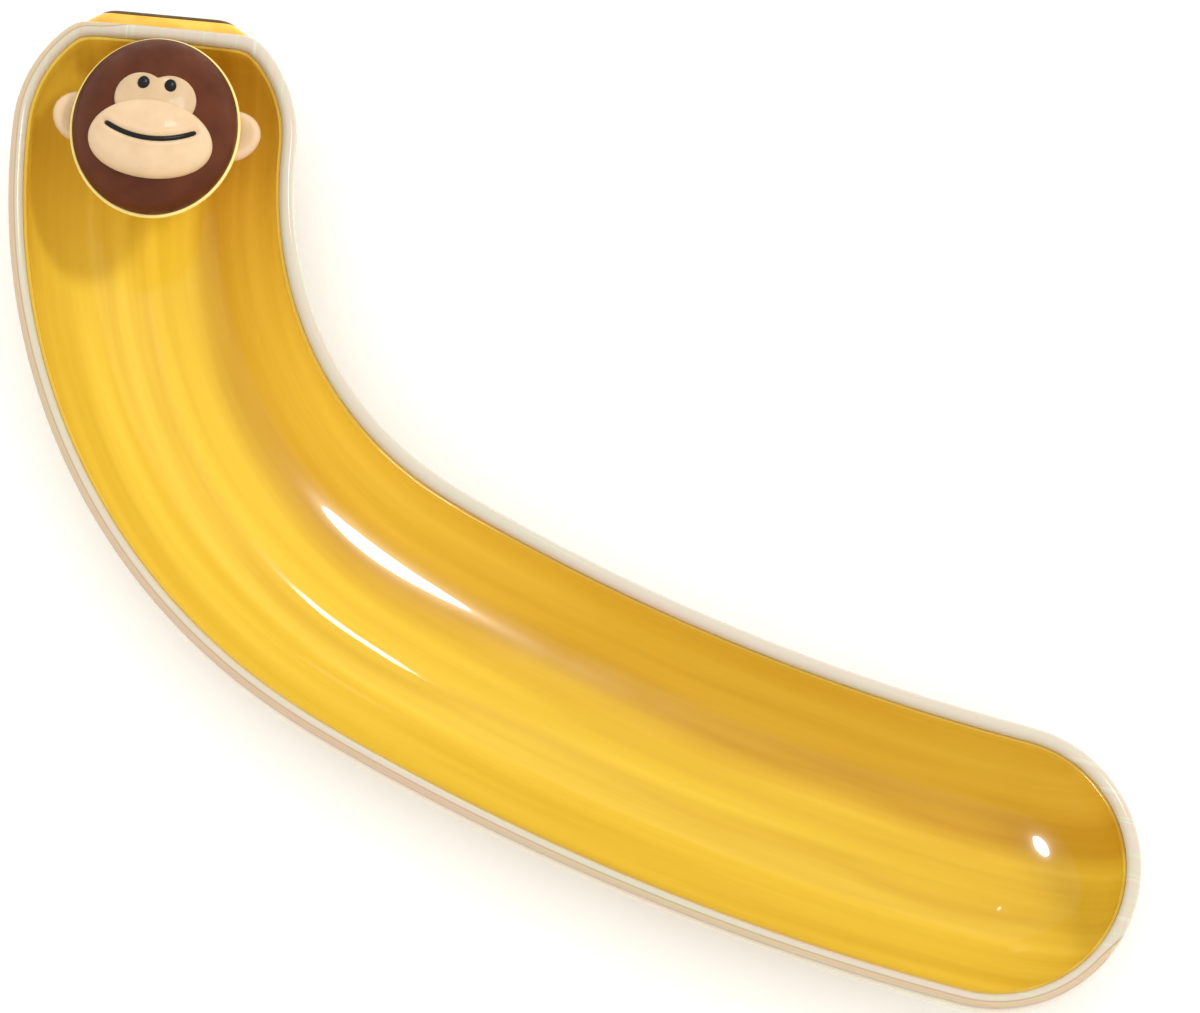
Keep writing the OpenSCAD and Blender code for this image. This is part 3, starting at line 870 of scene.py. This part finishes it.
# Camera: how far the picture's right is turned from +X, its height over the horizon, both in
# degrees, the width that it takes in, its distance and the point that it looks at
VIEW_TURN = 42.07
VIEW_ELEVATION = 78
VIEW_WIDTH = 227 * MM
VIEW_DISTANCE = 1.6
VIEW_MIDDLE = (4.3 * MM, 23.1 * MM, RIM_Z)


def towards(picture_angle, elevation):
    """Unit vector from the tray at an angle seen in the picture, and above the horizon."""
    a, e = math.radians(picture_angle + VIEW_TURN), math.radians(elevation)
    return np.array([math.cos(a) * math.cos(e), math.sin(a) * math.cos(e), math.sin(e)])


def aim(obj, place, target, roll=0):
    """Points an object at a target, rolled about its own axis by an angle in degrees."""
    obj.location = place
    way = Vector(target) - Vector(place)
    obj.rotation_mode = "QUATERNION"
    turned = Quaternion((0, 0, 1), math.radians(roll))
    obj.rotation_quaternion = way.to_track_quat("-Z", "Y") @ turned


def area_light(name, picture_angle, elevation, distance, size, power, target=(0, 0, 0.02),
               roll=0, diffuse=True, glossy=True):
    """An oval light that the camera doesn't see, distance away from its target."""
    data = bpy.data.lights.new(name, "AREA")
    data.shape = "ELLIPSE"
    data.size, data.size_y = size
    data.energy = power
    obj = bpy.data.objects.new(name, data)
    bpy.context.scene.collection.objects.link(obj)
    place = np.array(target) + towards(picture_angle, elevation) * distance
    aim(obj, tuple(place), target, roll)
    obj.visible_camera = False
    obj.visible_diffuse = diffuse
    obj.visible_glossy = glossy
    return obj


def limit_light(light, state, *objects):
    """Lets a light reach only some objects (INCLUDE), or all but them (EXCLUDE)."""
    linked = bpy.data.collections.new("lit_by_" + light.name)
    for obj in objects:
        linked.objects.link(obj)
    for entry in linked.collection_objects:
        entry.light_linking.link_state = state
    light.light_linking.receiver_collection = linked


def lamp(name, picture_mm, size, power, roll=0):
    """A lamp seen only as a reflection in the liner.

    picture_mm says how far it is to the right of the tray's middle in the picture, how far
    up the picture, and how far over the rim, in millimetres.
    """
    right, up, high = (v * MM for v in picture_mm)
    target = np.array(VIEW_MIDDLE)
    offset = right * towards(0, 0) + up * towards(90, 0) + np.array([0, 0, high])
    reach = float(np.linalg.norm(offset))
    picture_angle = math.degrees(math.atan2(up, right))
    elevation = math.degrees(math.asin(high / reach))
    obj = area_light(name, picture_angle, elevation, reach, size, power, tuple(target), roll,
                     diffuse=False)
    limit_light(obj, "INCLUDE", liner)


def floor():
    """A plain pale floor that the tray stands on."""
    size, steps = 3.0, 24
    grid = np.linspace(-size, size, steps + 1)
    verts = [(x, y, 0.0) for y in grid for x in grid]
    row = steps + 1
    faces = [(j * row + i, j * row + i + 1, (j + 1) * row + i + 1, (j + 1) * row + i)
             for j in range(steps) for i in range(steps)]
    obj = add_mesh("studio_floor", verts, faces)
    made = Material("pale_floor")
    tone = made.noise(made.place((1, 1, 1)), 6)
    made.link(made.colours(tone, (0.3, srgb(251, 251, 251)), (0.7, srgb(254, 254, 254))),
              made.shader.inputs["Base Color"])
    made.set(Roughness=0.9)
    obj.data.materials.append(made.material)
    return obj


def camera():
    """A camera without depth of field that looks down on the tray."""
    data = bpy.data.cameras.new("camera")
    obj = bpy.data.objects.new("camera", data)
    bpy.context.scene.collection.objects.link(obj)
    data.sensor_width = 36
    data.lens = data.sensor_width * VIEW_DISTANCE / VIEW_WIDTH
    back = towards(-90, VIEW_ELEVATION)
    aim(obj, tuple(np.array(VIEW_MIDDLE) + back * VIEW_DISTANCE), VIEW_MIDDLE)
    bpy.context.scene.camera = obj


def world():
    """An even, slightly warm studio background."""
    made = bpy.data.worlds.new("studio")
    made.use_nodes = True
    background = made.node_tree.nodes["Background"]
    background.inputs["Color"].default_value = (1, 0.985, 0.96, 1)
    background.inputs["Strength"].default_value = 1.06
    bpy.context.scene.world = made


ground = floor()
world()

# Main light from the upper right of the picture, on everything but the floor
key = area_light("key_upper_right", 32, 55, 1.0, (0.14, 0.14), 3.5, glossy=False)
limit_light(key, "EXCLUDE", ground)

# Even light that keeps the floor white
wash = area_light("floor_wash", 90, 89, 1.5, (2.4, 2.4), 13, glossy=False)
limit_light(wash, "INCLUDE", ground)

# Softens the shade on the liner round the head
fill = area_light("head_end_fill", -115, 50, 0.25, (0.12, 0.12), 0.12, (*HEAD_AXIS, RIM_Z),
                  glossy=False)
limit_light(fill, "INCLUDE", liner)

# Two lamps that make the two long highlights in the liner
lamp("lamp_left", (-540, -425, 600), (0.31, 0.16), 20)
lamp("lamp_overhead", (22, 246, 600), (0.012, 0.05), 0.11, roll=-38)

# Gloss on the face
face_lamp = area_light("face_lamp", 55, 62, 0.5, (0.12, 0.12), 0.5, (*HEAD_AXIS, PLATE_TOP),
                       diffuse=False)
limit_light(face_lamp, "INCLUDE", *face)

camera()

scene = bpy.context.scene
scene.view_settings.view_transform = "Standard"
scene.cycles.use_denoising = True
